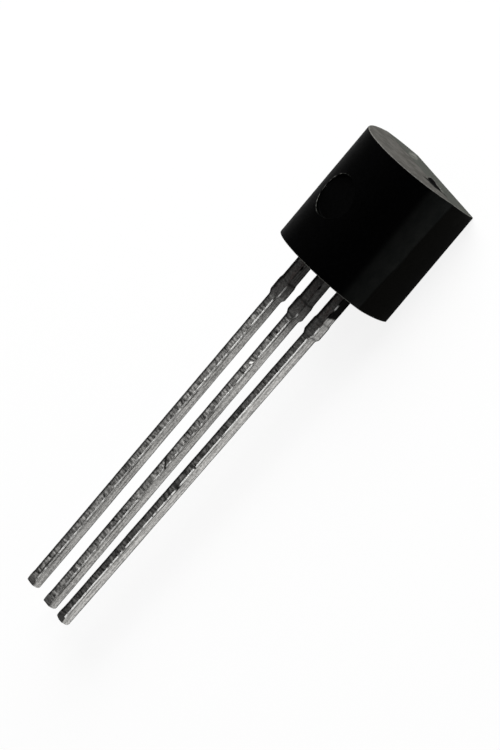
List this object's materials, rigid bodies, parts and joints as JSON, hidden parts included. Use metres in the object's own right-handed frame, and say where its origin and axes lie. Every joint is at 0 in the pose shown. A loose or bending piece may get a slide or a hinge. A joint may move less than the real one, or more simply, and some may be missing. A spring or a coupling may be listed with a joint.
{
  "type": "transistor",
  "caption": "TO-92 transistor: a black moulded D-shaped body with a flat face and straight stamped leads.",
  "frame": {"origin": "centre of the body's flat face", "axes": "+X along the leads towards the head of the body, +Y across the row from emitter to collector, +Z out of the round back"},
  "size_m": [0.019, 0.0046, 0.0035],
  "materials": {
    "moulding": "satin black moulding compound",
    "lead": "dull tin plate with scratches",
    "silicon": "polished silicon",
    "bond_wire": "bright gold"
  },
  "bodies": {
    "root": {"moulded_body": "moulding", "emitter_lead": "lead", "base_lead": "lead", "collector_lead": "lead", "die": "silicon", "base_wire": "bond_wire", "emitter_wire": "bond_wire"}
  },
  "joints": []
}
